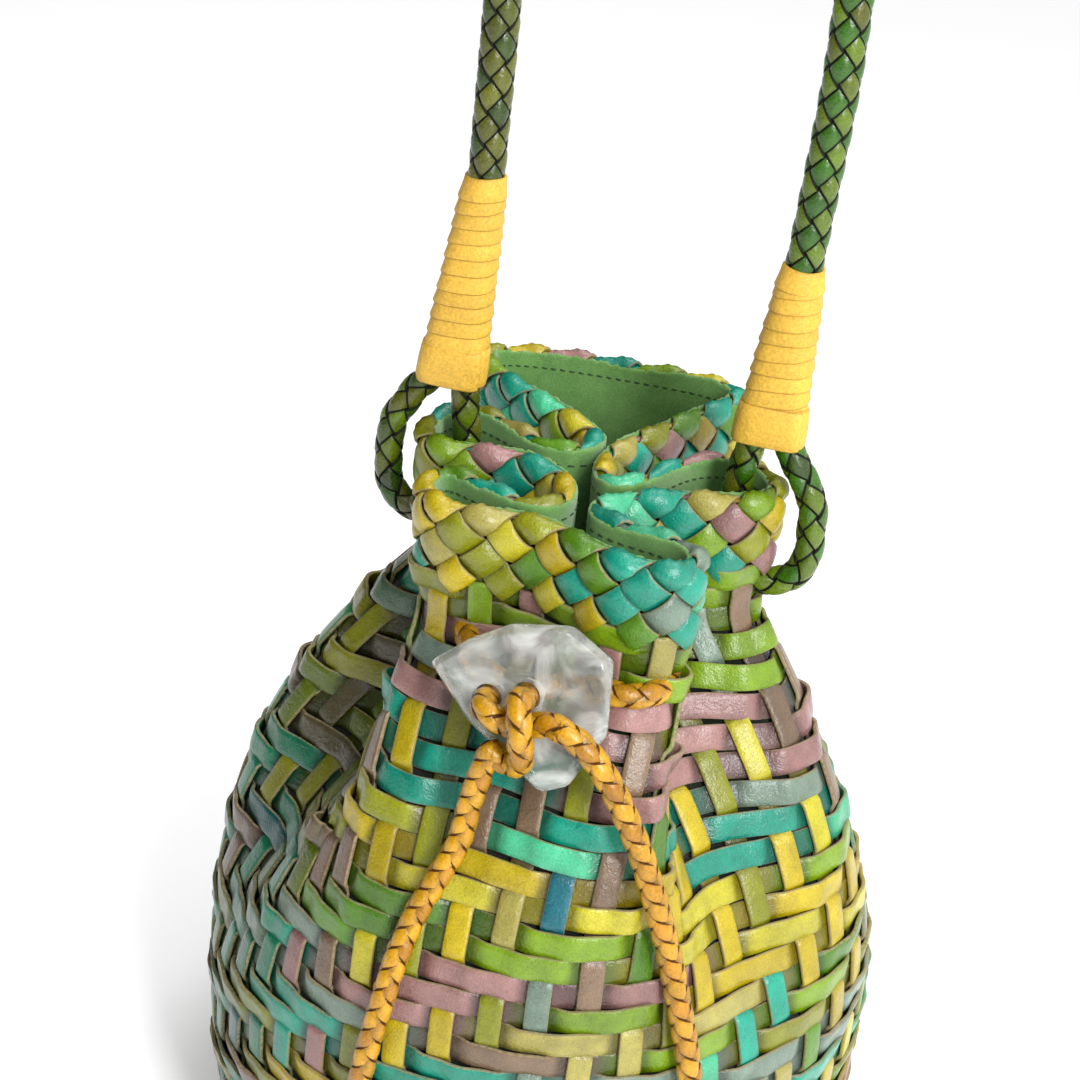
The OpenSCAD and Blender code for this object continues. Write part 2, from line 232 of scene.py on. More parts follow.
def closed_spline(controls, steps):
    t = (np.arange(steps) / steps)[None, :, None]
    a, b, c, d = (np.roll(controls, k, 0)[:, None] for k in (1, 0, -1, -2))
    curve = (a * (1 - t) ** 3 + b * (3 * t ** 3 - 6 * t * t + 4)
             + c * (-3 * t ** 3 + 3 * t * t + 3 * t + 1) + d * t ** 3) / 6
    return curve.reshape(-1, 2)


def wall_grid():
    """Points of the middle of the wall: a row for each height, evenly spaced round the bag."""
    rows = [closed_spline(section_controls(min(z, RIM_H)), CORNER_STEPS) for z in GRID_Z]

    def share(row):
        run = np.cumsum(np.linalg.norm(np.roll(row, -1, 0) - row, axis=1))
        return np.concatenate([[0], run[:-1]]) / run[-1]

    even = (share(rows[100]) + share(rows[250])) / 2
    u = np.arange(GRID_U) / GRID_U
    grid = np.zeros((len(rows), GRID_U, 3))
    for i, (z, row) in enumerate(zip(GRID_Z, rows)):
        for k in range(2):
            grid[i, :, k] = np.interp(u, np.append(even, 1), np.append(row[:, k], row[0, k]))
        grid[i, :, 2] = LIFT + z * (RIM_H - LIFT) / RIM_H
    return grid


WALL = wall_grid()
WALL_NORMAL = unit(np.cross(np.roll(WALL, -1, 1) - np.roll(WALL, 1, 1), np.gradient(WALL, axis=0)))


def on_wall(u, z):
    """Points on the middle of the wall and their outward directions, at shares u round it."""
    x = np.mod(np.asarray(u, float), 1.0) * GRID_U
    y = np.clip(np.asarray(z, float), 0, len(GRID_Z) - 1.001)
    i, j = np.floor(x).astype(int) % GRID_U, np.floor(y).astype(int)
    fx, fy = (x - np.floor(x))[..., None], (y - j)[..., None]
    k = (i + 1) % GRID_U

    def mix(grid):
        low = grid[j, i] * (1 - fx) + grid[j, k] * fx
        high = grid[j + 1, i] * (1 - fx) + grid[j + 1, k] * fx
        return low * (1 - fy) + high * fy

    return mix(WALL), unit(mix(WALL_NORMAL))


# -------------------- dyed leather

DYES = {
    "T": (18, 152, 132), "B": (10, 118, 132), "N": (104, 184, 148), "L": (132, 158, 58),
    "G": (92, 130, 42), "O": (142, 142, 66), "Y": (194, 172, 14), "P": (208, 196, 104),
    "M": (168, 132, 130), "W": (134, 112, 96), "E": (182, 170, 112), "S": (134, 148, 136),
}
DYE = {k: np.maximum(linear(v) * 1.36 - linear(v).mean() * 0.38, 0.003) * (0.65, 0.69, 0.67)
       for k, v in DYES.items()}
RANDOM_DYES = "TTNLLLGOOYYPMMWEST"
LEFT_DYES = "TTTTBBNGGLOWMMYT"  # the left side has more of the blue-greens
LEFT_DYE_AND_SHADE_DEPTH = np.array([0.60, 0.47, 0.62])  # and it is darkened, partly by deeper dye and partly by painted shade for the side away from the light


def dye_run(letters, at, rng, soft=0.12):
    """Colours along a strip: letters are its dyes at even shares of its length, at are shares."""
    n = len(letters)
    table = np.array([DYE[c] for c in letters]) * (1 + 0.10 * rng.standard_normal((n, 1)))
    x = np.mod(at, 1.0) * n
    i = np.floor(x).astype(int) % n
    f = smooth_step(((x - np.floor(x)) - 0.5) / (2 * soft) + 0.5)[:, None]
    return np.clip(table[i] * (1 - f) + table[(i + 1) % n] * f, 0, 1)


def painted_recess_shade(sway):
    """Painted shade: how far a strip's dye is darkened where it dives under its neighbours,
    standing in for the shade there; sway runs from -1 to 1.
    """
    return (0.40 + 0.60 * smooth_step((sway + 0.8) / 1.4))[:, None]


def per_float(letters, first, total):
    """One letter for each float, four crossings apart from the first, out of letters for it all."""
    return "".join(letters[int(((first + 4 * m) % total) / total * len(letters))]
                   for m in range(total // 4))


def random_letters(rng, count, stay=0.45, dyes=RANDOM_DYES):
    letters = [dyes[rng.integers(len(dyes))]]
    while len(letters) < count:
        keep = rng.random() < stay
        letters.append(letters[-1] if keep else dyes[rng.integers(len(dyes))])
    return "".join(letters)


# The wefts from the rim down: each one's front and right, then its left, in 24ths of the girth.
# The warps, numbered to the right from the front left corner: each from the rim down in tenths.
# The rest of the bag is dyed at random.
WEFT_DYES = [
    "OOLLLLLLN YOOMO", "OLLLGLLLL OYYOO", "MMLLLLLLY YYOOM", "SMMLLLLLL TTBOS", "MMMMOOLLL TSOYM",
    "TTMMOMLSS YYWOT", "NTTMMMMMS YOWYN", "TTTMMTMSM OYYOT", "OSNNTNSTT GOYOO", "YYYYTTTTT WTOGY",
    "OPYPTTNNN TBWTO", "GGLNPPLLY TTMWG", "GGLLPYYPP TTGOG", "OMMMLPYYY TBTTG", "SMOLMYPPE MMBTS",
    "MMELEMGGL GMMTM", "SWWELLLLO BTTSS", "TTSSLOOOS YTTTT", "TTTSMSSSS TTOYT", "OTTTSNSSN TTNOO",
    "YOLTTTTNT BTTOY", "YYLOPTNNT MMTTY", "PYYLLOYLL TTMMO", "MMPPYYYLY TBTMM", "TTMMELLYY YOTTS",
    "TBTNEEMML OYYOT", "GGTTNMMSO GGOOG", "LGGYYSSTT TTMGG", "YYLLYTTTB MMTTY", "MPPTTBTYO OYYMM",
    "TTNNLLYYP TTGTT",
]
WARP_DYES = {
    0: "GYWWWMMMWE", 1: "YYYPPOOSTM", 2: "LOOOYYEOGY", 3: "GEWYYYOTWM", 4: "LMWEOGLYEM",
    5: "MOBBSSENYW", 6: "EWWWMEWGLY", 7: "LGGGEEOYYM", 8: "YYYYOYGMWT", 9: "LYYPYNMTWE",
    10: "LYYYNTTMOG", 11: "OYOOTEETYO", 12: "SPPYYGLLYE", 13: "WWPYYYYEOM", 14: "OWWYPYPTGO",
    47: "YWOWMTTGBY", 46: "OYWOGTTBTY", 45: "WOGYTTBTSO", 44: "BOWOGTMTBT", 43: "YWOYTBGTMT",
    42: "OGWYTMTBGT", 41: "WYOOTTMBTY",
}


# -------------------- node helpers

class Tree:
    """A material's node tree, with short ways to add and join nodes."""

    def __init__(self, name):
        self.material = bpy.data.materials.new(name)
        self.material.use_nodes = True
        self.nodes = self.material.node_tree.nodes
        self.links = self.material.node_tree.links
        self.shader = self.nodes["Principled BSDF"]

    def put(self, target, value):
        if isinstance(value, bpy.types.NodeSocket):
            self.links.new(value, target)
        elif value is not None:
            target.default_value = value

    def place(self):
        return self.add("ShaderNodeTexCoord").outputs["Object"]

    def add(self, kind, **sockets):
        node = self.nodes.new(kind)
        for key, value in sockets.items():
            self.put(node.inputs[key], value)
        return node

    def set(self, **sockets):
        for key, value in sockets.items():
            self.put(self.shader.inputs[key.replace("_", " ")], value)

    def noise(self, per_mm, detail=3.0, rough=0.55, distort=0.0):
        node = self.add("ShaderNodeTexNoise", Scale=per_mm * 1000, Detail=detail,
                        Roughness=rough, Distortion=distort, Vector=self.place())
        return node.outputs["Fac"]

    def cells(self, per_mm):
        node = self.add("ShaderNodeTexVoronoi", Scale=per_mm * 1000, Vector=self.place())
        node.feature = "SMOOTH_F1"
        return node.outputs["Distance"]

    def ramp(self, value, low, high, out_low=0.0, out_high=1.0):
        node = self.nodes.new("ShaderNodeMapRange")
        for socket, number in zip(list(node.inputs)[:5], (value, low, high, out_low, out_high)):
            self.put(socket, number)
        return node.outputs["Result"]

    def math(self, operation, a, b=None):
        node = self.nodes.new("ShaderNodeMath")
        node.operation = operation
        self.put(node.inputs[0], a)
        self.put(node.inputs[1], b)
        return node.outputs[0]

    def mix(self, factor, a, b, blend="MIX"):
        node = self.nodes.new("ShaderNodeMix")
        node.data_type = "RGBA"
        node.blend_type = blend
        self.put(node.inputs[0], factor)
        for socket, value in ((node.inputs[6], a), (node.inputs[7], b)):
            self.put(socket, (*value, 1) if isinstance(value, tuple) else value)
        return node.outputs[2]

    def attribute(self, name):
        node = self.nodes.new("ShaderNodeAttribute")
        node.attribute_name = name
        return node

    def bump(self, height, strength, distance_mm, below=None):
        return self.add("ShaderNodeBump", Strength=strength, Height=height,
                        Distance=distance_mm * MM, Normal=below).outputs["Normal"]


def leather(name, edge, grain_mm, shine, mottle=0.30, gloss=0.0, wrinkle=0.5, wear=0.35, pit=0.3):
    """Aniline-dyed leather: mottled dye, fine pebbled grain, soft wrinkles and raw cut edges."""
    t = Tree(name)
    dye = t.attribute("dye").outputs["Color"]
    cut = t.attribute("cut").outputs["Fac"]
    patches = t.noise(0.12, 3)
    fine = t.noise(1.0 / grain_mm, 4, 0.65)
    pebbles = t.cells(0.9 / grain_mm)
    creases = t.noise(0.35, 2, 0.5, distort=1.2)
    tone = t.math("ADD", t.ramp(patches, 0.3, 0.7, 1 - mottle, 1 + mottle * 0.6),
                  t.ramp(fine, 0.35, 0.65, -0.16, 0.16))
    colour = t.mix(1.0, dye, t.add("ShaderNodeCombineColor", Red=tone, Green=tone, Blue=tone
                                   ).outputs["Color"], "MULTIPLY")
    pits = t.ramp(pebbles, 0.0, 0.28, pit, 0.0)
    colour = t.mix(pits, colour, (0.03, 0.025, 0.015))
    worn = t.math("MULTIPLY", cut, t.ramp(t.noise(0.9, 2), 0.35, 0.6, wear, 1.0))
    colour = t.mix(worn, colour, edge)
    rough = t.math("ADD", t.ramp(fine, 0.3, 0.7, shine - 0.07, shine + 0.10),
                   t.math("MULTIPLY", cut, 0.25))
    normal = t.bump(creases, wrinkle, 0.6)
    normal = t.bump(pebbles, 0.55, 0.18, normal)
    normal = t.bump(fine, 0.5, 0.16, normal)
    t.set(Base_Color=colour, Roughness=rough, Normal=normal, Coat_Normal=normal,
          Specular_IOR_Level=t.ramp(cut, 0, 1, 0.42, 0.12),
          Coat_Weight=t.ramp(cut, 0, 1, gloss, 0), Coat_Roughness=0.25)
    return t.material


def suede(name, dark, light):
    """Split leather: a soft nap with lighter fibre tips, and no shine."""
    t = Tree(name)
    nap = t.noise(2.2, 5, 0.7, distort=0.6)
    patches = t.noise(0.10, 3)
    factor = t.math("ADD", t.ramp(nap, 0.35, 0.65, 0.1, 0.8), t.ramp(patches, 0.3, 0.7, -0.2, 0.2))
    # the side that is glued to the weave is painted nearly black: painted shade for the gaps
    # between the strips
    colour = t.mix(t.attribute("cut").outputs["Fac"], t.mix(factor, dark, light),
                   (0.006, 0.010, 0.005))
    t.set(Base_Color=colour, Roughness=0.95, Normal=t.bump(nap, 0.8, 0.5),
          Specular_IOR_Level=0.15, Sheen_Weight=0.35, Sheen_Roughness=0.5)
    return t.material


def fibres(name, dark, light, rough, grain, bump):
    """A plain matte stuff of fibres: the seam's thread and the board in the base."""
    t = Tree(name)
    strands = t.noise(*grain)
    t.set(Base_Color=t.mix(t.ramp(strands, 0.3, 0.7), dark, light), Roughness=rough,
          Normal=t.bump(strands, *bump))
    return t.material


def quartz(name):
    """Clear grey-white quartz with milky veils, fine cracks and a few ochre and dark specks."""
    t = Tree(name)
    cloud = t.noise(0.06, 4, 0.5, distort=0.5)
    veil = t.ramp(t.noise(0.08, 4, 0.5, distort=0.8), 0.40, 0.68)
    veins = t.math("ABSOLUTE", t.math("SUBTRACT", t.noise(0.04, 3, 0.5, distort=1.2), 0.5))
    colour = t.mix(t.ramp(cloud, 0.36, 0.64), (0.72, 0.74, 0.70), (0.88, 0.90, 0.87))
    colour = t.mix(t.ramp(t.noise(0.10, 4, 0.7, distort=1.0), 0.62, 0.78, 0, 0.5), colour,
                   (0.52, 0.38, 0.18))
    colour = t.mix(t.ramp(t.noise(0.35, 3, 0.8, distort=3.0), 0.69, 0.76, 0, 0.6), colour,
                   (0.08, 0.08, 0.07))
    colour = t.mix(t.ramp(veins, 0.0, 0.006, 0.35, 0.0), colour, (0.92, 0.94, 0.92))
    normal = t.bump(t.noise(0.07, 2), 0.35, 1.5)
    t.set(Base_Color=colour, Roughness=t.ramp(veil, 0.0, 1.0, 0.08, 0.20), Normal=normal,
          Transmission_Weight=t.ramp(veil, 0.0, 1.0, 0.92, 0.42), IOR=1.54)
    return t.material


RAW_EDGE = (0.30, 0.24, 0.14)
STRIP = leather("dyed_strip_leather", RAW_EDGE, 0.55, 0.34, 0.22, gloss=0.40)
PLAIT = leather("strap_leather", (0.006, 0.007, 0.004), 0.8, 0.26, 0.30, gloss=0.30, wrinkle=0.35,
                wear=1.0)
GOLD = leather("golden_cord_leather", (0.085, 0.032, 0.004), 0.9, 0.32, 0.28, gloss=0.35,
               wrinkle=0.35, wear=1.0)
LACE = leather("wrap_lace_leather", (0.42, 0.24, 0.05), 0.9, 0.48, 0.12, wrinkle=0.4, wear=0.8,
               pit=0.12)
SUEDE = suede("suede_lining", (0.075, 0.20, 0.045), (0.20, 0.40, 0.11))
THREAD = fibres("seam_thread", (0.018, 0.035, 0.012), (0.0396, 0.077, 0.0264), 0.7, (3.0, 3),
                (0.5, 0.15))
QUARTZ = quartz("quartz")
BOARD = fibres("base_board_fibre", (0.16, 0.10, 0.05), (0.30, 0.20, 0.11), 0.85, (0.8, 5, 0.7),
               (0.5, 0.3))


# -------------------- braids

def frames(points, up):
    """Directions across a route that turn with it and don't twist."""
    along = tangents(points)
    side = np.zeros_like(points)
    first = np.cross(np.asarray(up, float), along[0])
    side[0] = first / np.linalg.norm(first)
    for i in range(1, len(points)):
        v = side[i - 1] - along[i] * (side[i - 1] @ along[i])
        side[i] = v / np.linalg.norm(v)
    return side, np.cross(along, side)


def braid(route, radius, strands, lay, width, thick, dyes, seed, up=(0, 0, 1), span=None,
          lift=0.45, crown=0.5, phase=0.0, edge=0.81):
    """A round braid of strands + strands flat laces along a route, each over one and under one.

    dyes holds the letters of the laces that turn one way, then of those that turn the other way.
    """
    rng = np.random.default_rng(seed)
    line = resample(route, 0.5)
    side, out = frames(line, up)
    run = run_along(line)
    low, high = span or (0, run[-1])
    alpha = math.atan2(2 * math.pi * radius, lay)
    offsets = np.array([-1, -edge, 0.06 - edge, -0.45, 0, 0.45, edge - 0.06, edge, 1]) * width / 2
    profile = np.concatenate([np.stack([offsets, crown * (1 - (2 * offsets / width) ** 2)], -1),
                              np.stack([offsets[::-1], -thick + 0 * offsets], -1)])
    cut = np.array([1.0, 1.0, 0.1, 0, 0, 0, 0.1, 1.0, 1.0] + [1.0] * 9)
    margin = width
    step = 0.9
    t = np.arange(low - margin, high + margin + step, step)
    parts = []
    for turn in (1, -1):
        for i in range(strands):
            cell = 2 * strands * t / lay
            weave = np.tanh(2.2 * np.cos(math.pi * cell)) / math.tanh(2.2)
            middle = radius - crown - lift + turn * lift * weave
            angle = turn * 2 * math.pi * (t / lay) + 2 * math.pi * i / strands + phase
            w, h = profile[:, 0], profile[:, 1]
            at = t[:, None] - turn * math.sin(alpha) * w[None]
            swing = angle[:, None] + math.cos(alpha) * w[None] / radius
            reach = middle[:, None] + h[None]
            at = np.clip(at, low, high)
            inside = (t > low - margin * 0.8) & (t < high + margin * 0.8)
            centre = np.stack([np.interp(at, run, line[:, k]) for k in range(3)], -1)
            a = unit(np.stack([np.interp(at, run, side[:, k]) for k in range(3)], -1))
            b = unit(np.stack([np.interp(at, run, out[:, k]) for k in range(3)], -1))
            points = centre + (a * np.cos(swing)[..., None] + b * np.sin(swing)[..., None]
                               ) * reach[..., None]
            points = points[inside]
            n, m = points.shape[:2]
            k, j = np.meshgrid(np.arange(n - 1), np.arange(m), indexing="ij")
            q, r = k * m + j, k * m + (j + 1) % m
            quads = np.stack([q, r, r + m, q + m], -1).reshape(-1, 4)
            if turn < 0:
                quads = quads[:, ::-1]
            faces = quads.tolist() + [list(range(m))[::turn], [(n - 1) * m + x
                                                             for x in range(m)][::-turn]]
            letters = dyes[0 if turn > 0 else 1]
            dye = dye_run(letters[i % len(letters)], t[inside] / (run[-1] + 2 * margin), rng, 0.4)
            # painted shade where each lace dives under the laces that turn the other way
            dye = dye * painted_recess_shade(turn * weave[inside])
            parts.append((points.reshape(-1, 3), faces, np.repeat(dye, m, axis=0),
                          np.tile(cut, n)))
    return parts


# -------------------- the two free tails, made first

CORD_D = 8.0
TAIL_LEFT = [
    (2, -91.6, 207.5), (-0.5, -92, 200), (-3, -92, 189), (-4, -93, 181.5), (-5.5, -94.5, 174),
    (-10, -98, 163), (-14.5, -102, 152), (-16.3, -104.7, 145), (-18, -107.5, 138),
    (-20.5, -112, 123), (-23, -114.5, 108), (-24, -115, 100.5), (-25, -115.5, 93),
    (-26.5, -116, 76), (-27.3, -116, 68), (-28, -115.5, 60), (-29, -114, 45)]
TAIL_RIGHT = [
    (21, -90, 218.8), (28, -90.5, 215.5), (35, -90.5, 208), (41.5, -90.5, 197.5),
    (48, -90.5, 184.5), (51, -90.5, 177), (54, -90.5, 169), (60, -90, 151), (63, -90.4, 141),
    (66, -91, 131), (69, -91.5, 120), (71.5, -92, 109), (74.5, -92.5, 91), (75.7, -92.1, 81.5),
    (76.5, -91.5, 72), (77, -90.5, 56), (77, -88.5, 42)]
# The knot in front of the stone: each cord comes out of its hole and leaves as the other tail
KNOT_TO_RIGHT = [(-3, -74, 216), (-3, -78, 217), (-3, -84.5, 219), (-2.2, -88.8, 219.6),
                 (1.5, -90.5, 218.5), (6, -89.5, 216), (12, -88, 216.5), (17, -88.5, 218.5)]
KNOT_TO_LEFT = [(8, -73, 218.8), (8, -77, 219.8), (8, -84, 221.5), (8.6, -90.5, 225.5),
                (10.3, -96.0, 223.5), (11.6, -97.6, 217.5), (12, -96.4, 211.3),
                (10.6, -93.3, 206.3), (7, -91.5, 204.8), (3.5, -91.4, 206.2)]
GOLD_DYES = (("QQQH", "HQQQ"), ("QHQQ", "QQHQ"))
DYE["Q"] = linear((192, 140, 6))
DYE["H"] = linear((172, 116, 3))
GOLD_BRAID = dict(radius=CORD_D / 2, strands=2, lay=13.6, width=5.9, phase=math.pi / 4,
                  edge=0.89, thick=0.8, dyes=GOLD_DYES, lift=0.38, up=(0.3, 0, 1))


def route_length(points):
    return run_along(resample(points, 0.5))[-1]


def make_tail(side, knot, tail, end_centre, seed):
    """A tail with its end knot, and the length of cord that ties it to the stone."""
    whole = knot + tail
    split = route_length(knot + tail[:1])
    tied = mesh_piece(f"toggle_cord_{side}",
                      braid(whole, seed=seed, span=(0.5, split + 1.0), **GOLD_BRAID),
                      GOLD, "toggle")
    loose = mesh_piece(f"tail_cord_{side}",
                       braid(whole, seed=seed, span=(split, route_length(whole) - 0.5),
                             **GOLD_BRAID), GOLD, None)
    ball = mesh_piece(f"tail_end_knot_{side}", end_knot(end_centre, tail[-1], seed + 5),
                      GOLD, f"{side}_tail")
    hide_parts(f"tail_{side}")
    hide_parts(f"tail_knot_{side}")
    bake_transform(loose)
    return tied


def end_knot(centre, cord_end, seed):
    """Two crossed round turns and a short cut end: a small stopper knot."""
    c = np.array(centre, float)
    e = np.array(cord_end, float)
    turns = []
    for k in range(15):
        a = math.radians(-60 + k * 40)
        tilt = math.radians(28) * math.cos(a * 0.5)
        ring = np.array([math.cos(a) * 3.7, math.sin(a) * 3.5,
                         3.0 - 6.0 * k / 14 + 1.6 * math.sin(a + tilt)])
        turns.append(tuple(c + ring))
    route = [tuple(e + (c - e) * 0.1), tuple(c + np.array([0.5, 0, 5.2]))] + turns + [
        tuple(c + np.array([0.3, 0.2, -5.4])), tuple(c + np.array([0.2, 0.2, -8.4]))]
    small = dict(GOLD_BRAID, radius=3.1, lay=13.0, width=5.8, crown=0.45)
    return braid(route, seed=seed, **small)


make_camera()
tied_left = make_tail("left", KNOT_TO_LEFT, TAIL_LEFT, (-29.5, -117, 35.5), 31)
tied_right = make_tail("right", KNOT_TO_RIGHT, TAIL_RIGHT, (79, -91, 32.5), 47)
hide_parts("toggle_knot", "cord_through_right")
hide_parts("cord_through_left")


# -------------------- the woven wall

WARPS = 48
ROW_PITCH = 7.75
TOP_ROW_H = 234.5
ROWS = 31
STRIP_W, STRIP_T = 8.2, 1.4
SWAY = 0.95  # how far a strip's middle lies out of the wall's middle where it is over or under


def over(k, j):
    """True where the weft of row j passes outside warp k: a twill, over two and under two."""
    return ((k + j) % 4) < 2


def stepped(values, x, flat=0.27):
    """Values at whole x, held flat round each and joined smoothly; x wraps round."""
    i = np.floor(x).astype(int)
    f = smooth_step((x - i - flat) / (1 - 2 * flat))
    n = len(values)
    return values[i % n] * (1 - f) + values[(i + 1) % n] * f


def bend(u, height):
    """How sharply the wall turns outwards at shares u, per millimetre: 0 on flats and hollows."""
    step = 7.0 / 700
    a, b, c = (on_wall(u + d, height) for d in (-step, 0, step))
    turn = ((2 * b[0] - a[0] - c[0]) * b[1]).sum(-1)
    return np.clip(turn / np.sum((c[0] - b[0]) ** 2, -1), 0, 0.2)


def weft(j, rng):
    count = WARPS * 16
    u = np.arange(count) / count
    x = u * WARPS
    side = np.array([1.0 if over(k, j) else -1.0 for k in range(WARPS)])
    # the lowest course is narrower and stays clear of the floor
    width = STRIP_W if j < ROWS - 1 else 5.4
    height = TOP_ROW_H - ROW_PITCH * j + 0.35 * wobble(u, rng, (3, 7, 13))
    height = np.maximum(height, width / 2 + 0.45)
    points, normals = on_wall(u, height)
    sway = stepped(side, x)
    # a float bows outwards between the two warps that it passes over
    starts = np.array([1.0 if over(k, j) and over(k + 1, j) else 0.0 for k in range(WARPS)])
    bow = starts[np.floor(x).astype(int)] * np.sin(math.pi * (x - np.floor(x))) ** 2
    corner = np.convolve(np.pad(bend(u, height), 8, mode="wrap"), np.ones(17) / 17, mode="valid")
    bow = bow * (0.4 + 0.25 * wobble(u, rng, (11, 23, 31)) + np.clip(corner * 36, 0, 2.8))
    centres = points + normals * (SWAY * sway + bow)[:, None]
    lean = np.radians(6 + 5 * np.clip(sway, -1, 1) + 3 * wobble(u, rng, (9, 17, 29)))
    up = np.array([0.0, 0.0, 1.0])
    leaning = unit(normals * np.cos(lean)[:, None] - up * np.sin(lean)[:, None])
    profile, cut = strip_profile(width, STRIP_T)
    front, left = WEFT_DYES[j].split()
    letters = front + "".join(random_letters(rng, 1, dyes=RANDOM_DYES if i < 7 else LEFT_DYES)
                              for i in range(10)) + left
    # each float has one colour, and the dye changes where the strip is hidden under the warps
    first = (0.5 - j) % 4
    dye = dye_run(per_float(letters, first, WARPS), (x - first) / WARPS, rng, 0.08)
    # the left side is darkened, partly by deeper dye and partly by painted shade for the side away
    # from the light
    on_left = smooth_step((u - 0.70) / 0.06) * smooth_step((0.985 - u) / 0.05)
    left_dye_and_shade = 1 - on_left[:, None] * LEFT_DYE_AND_SHADE_DEPTH
    # the dye is also darkened by painted shade where the strip dives under the warps
    return sweep(centres, leaning, profile, dye * painted_recess_shade(sway) * left_dye_and_shade, cut, closed=True)


def warp(k, rng):
    heights = np.arange(1.2, 238.5, 1.1)
    x = (TOP_ROW_H - heights) / ROW_PITCH
    side = np.array([-1.0 if over(k, j) else 1.0 for j in range(-2, ROWS + 2)])
    sway = stepped(side, np.clip(x + 2, 0, len(side) - 1.01), 0.30)
    share = heights / 240
    u = k / WARPS + (0.0007 * wobble(share, rng, (1, 2, 4)))
    points, normals = on_wall(u, heights)
    centres = points + normals * (SWAY * sway)[:, None]
    profile, cut = strip_profile(STRIP_W - 0.9, STRIP_T)
    letters = WARP_DYES.get(k) or random_letters(rng, 10, 0.25, LEFT_DYES if k > 32
                                                 else RANDOM_DYES)
    first = (2.5 - k) % 4
    dye = dye_run(per_float(letters, first, 32), (x - first) / 32, rng, 0.08)
    # the left side is darkened, partly by deeper dye and partly by painted shade; the dye is also
    # darkened by painted shade where the strip dives under the wefts
    left_dye_and_shade = 1 - LEFT_DYE_AND_SHADE_DEPTH * (33 < k < 47)
    return sweep(centres, normals, profile, dye * painted_recess_shade(sway) * left_dye_and_shade, cut)


for j in range(ROWS):
    piece = mesh_piece(f"weft_{j:02d}", [weft(j, np.random.default_rng(100 + j))], STRIP, "bag")
    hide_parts("woven_wall")
for k in range(WARPS):
    mesh_piece(f"warp_{k:02d}", [warp(k, np.random.default_rng(300 + k))], STRIP, "bag")


# -------------------- border, lining and stitches

BORDER_DYES = {
    1: "YYEOGTTSNTNTELOYMTNYEOGTTPLTMYOLTNPTGEOTOLMTYOTG",
    -1: "YOPYGTTTBSNTMYPYTYLOTMYGLNYTPEOTTLYMGTNTOLTPEOMT",
}
RIM_TURN_H = RIM_H - 3.3  # where the strips of the border start to turn over the edge


def over_rim(u, climb, out):
    """Points of a skin that climbs the border, turns over its edge and tucks into the lining."""
    pivot = -1.3
    past = np.maximum(climb - RIM_TURN_H, 0)
    turn = np.clip(past / 2.6, 0, math.pi)
    down = np.maximum(past - 2.6 * math.pi, 0)
    reach = (out - pivot) * (1 - 0.45 * smooth_step((turn - 1.4) / 1.6))
    points, normals = on_wall(u, np.minimum(climb, RIM_TURN_H))
    up = np.array([0.0, 0.0, 1.0])
    return (points + normals * (pivot + reach * np.cos(turn))[..., None]
            + up * (reach * np.sin(turn) - down)[..., None])


def border_strip(index, lean, rng):
    """One strip of the border: up the rim on the bias, over its edge and down inside."""
    girth = float(np.linalg.norm(np.roll(WALL[250], -1, 0) - WALL[250], axis=1).sum())
    foot = RIM_H - BORDER_H + 0.5
    slant = math.sqrt(0.5)
    along = np.arange(-3.0, (BORDER_H + 8.0) / slant, 0.75)
    pitch = girth / WARPS * slant
    width = pitch * 0.88 + rng.uniform(-0.3, 0.3)
    edge = (RIM_TURN_H + 2.5 - foot) / slant
    profile, cut = strip_profile(width, STRIP_T - 0.1, 0.55)
    w = profile[:, 0]
    x = lean * slant * (along[:, None] - w[None])
    climb = foot + slant * (along[:, None] + w[None])
    u = index / WARPS + (x - lean * edge * slant) / girth
    swing = np.tanh(2.2 * np.cos(math.pi * (along - edge) / pitch)) / math.tanh(2.2)
    puff = 1.0 * np.cos(math.pi * (along - edge) / pitch) * lean
    inside = smooth_step((along - edge) / 4)
    middle = (0.8 + lean * (0.85 - 0.1 * inside) * (swing * (1 - inside) + inside)
              + np.maximum(puff, 0) * (1 - inside))
    out = middle[:, None] + profile[None, :, 1]
    climb = climb + 0.25 * wobble(along / along[-1], rng, (1, 2, 3))[:, None]
    points = over_rim(u, climb, out)
    n, m = points.shape[:2]
    faces = tube(n, m)
    if lean < 0:
        faces = [f[::-1] for f in faces]
    letters = BORDER_DYES[lean][index]
    # painted shade where the strip dives under its neighbours on the border
    dye = dye_run(letters, along / along[-1], rng) * painted_recess_shade(lean * swing * (1 - inside) + inside)
    return points.reshape(-1, 3), faces, np.repeat(dye, m, axis=0), np.tile(cut, n)


for lean, word in ((1, "right"), (-1, "left")):
    for group in range(4):
        parts = [border_strip(i, lean, np.random.default_rng(500 + i + 60 * (lean > 0)))
                 for i in range(group * 12, group * 12 + 12)]
        piece = mesh_piece(f"border_strips_{word}_{group}", parts, STRIP, "bag")
        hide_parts("rim_braid")


